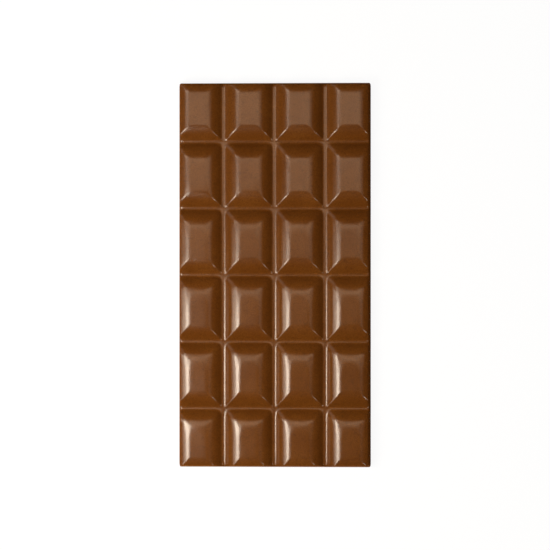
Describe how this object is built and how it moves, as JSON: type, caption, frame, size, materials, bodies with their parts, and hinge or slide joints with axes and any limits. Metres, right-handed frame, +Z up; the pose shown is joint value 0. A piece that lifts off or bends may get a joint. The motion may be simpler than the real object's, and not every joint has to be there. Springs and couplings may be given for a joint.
{
  "type": "chocolate bar",
  "caption": "Moulded milk chocolate bar with raised flat-topped pieces and break grooves, lying on its flat back.",
  "frame": {"origin": "middle of the flat back, on the surface the bar lies on", "axes": "+X across the four columns, +Y along the six rows, +Z up out of the moulded side"},
  "size_m": [0.08, 0.16, 0.0073],
  "materials": {
    "milk_chocolate": "satin moulded milk chocolate, glossy on the raised side and duller on the back"
  },
  "bodies": {
    "root": {"chocolate_bar": "milk_chocolate"}
  },
  "joints": []
}
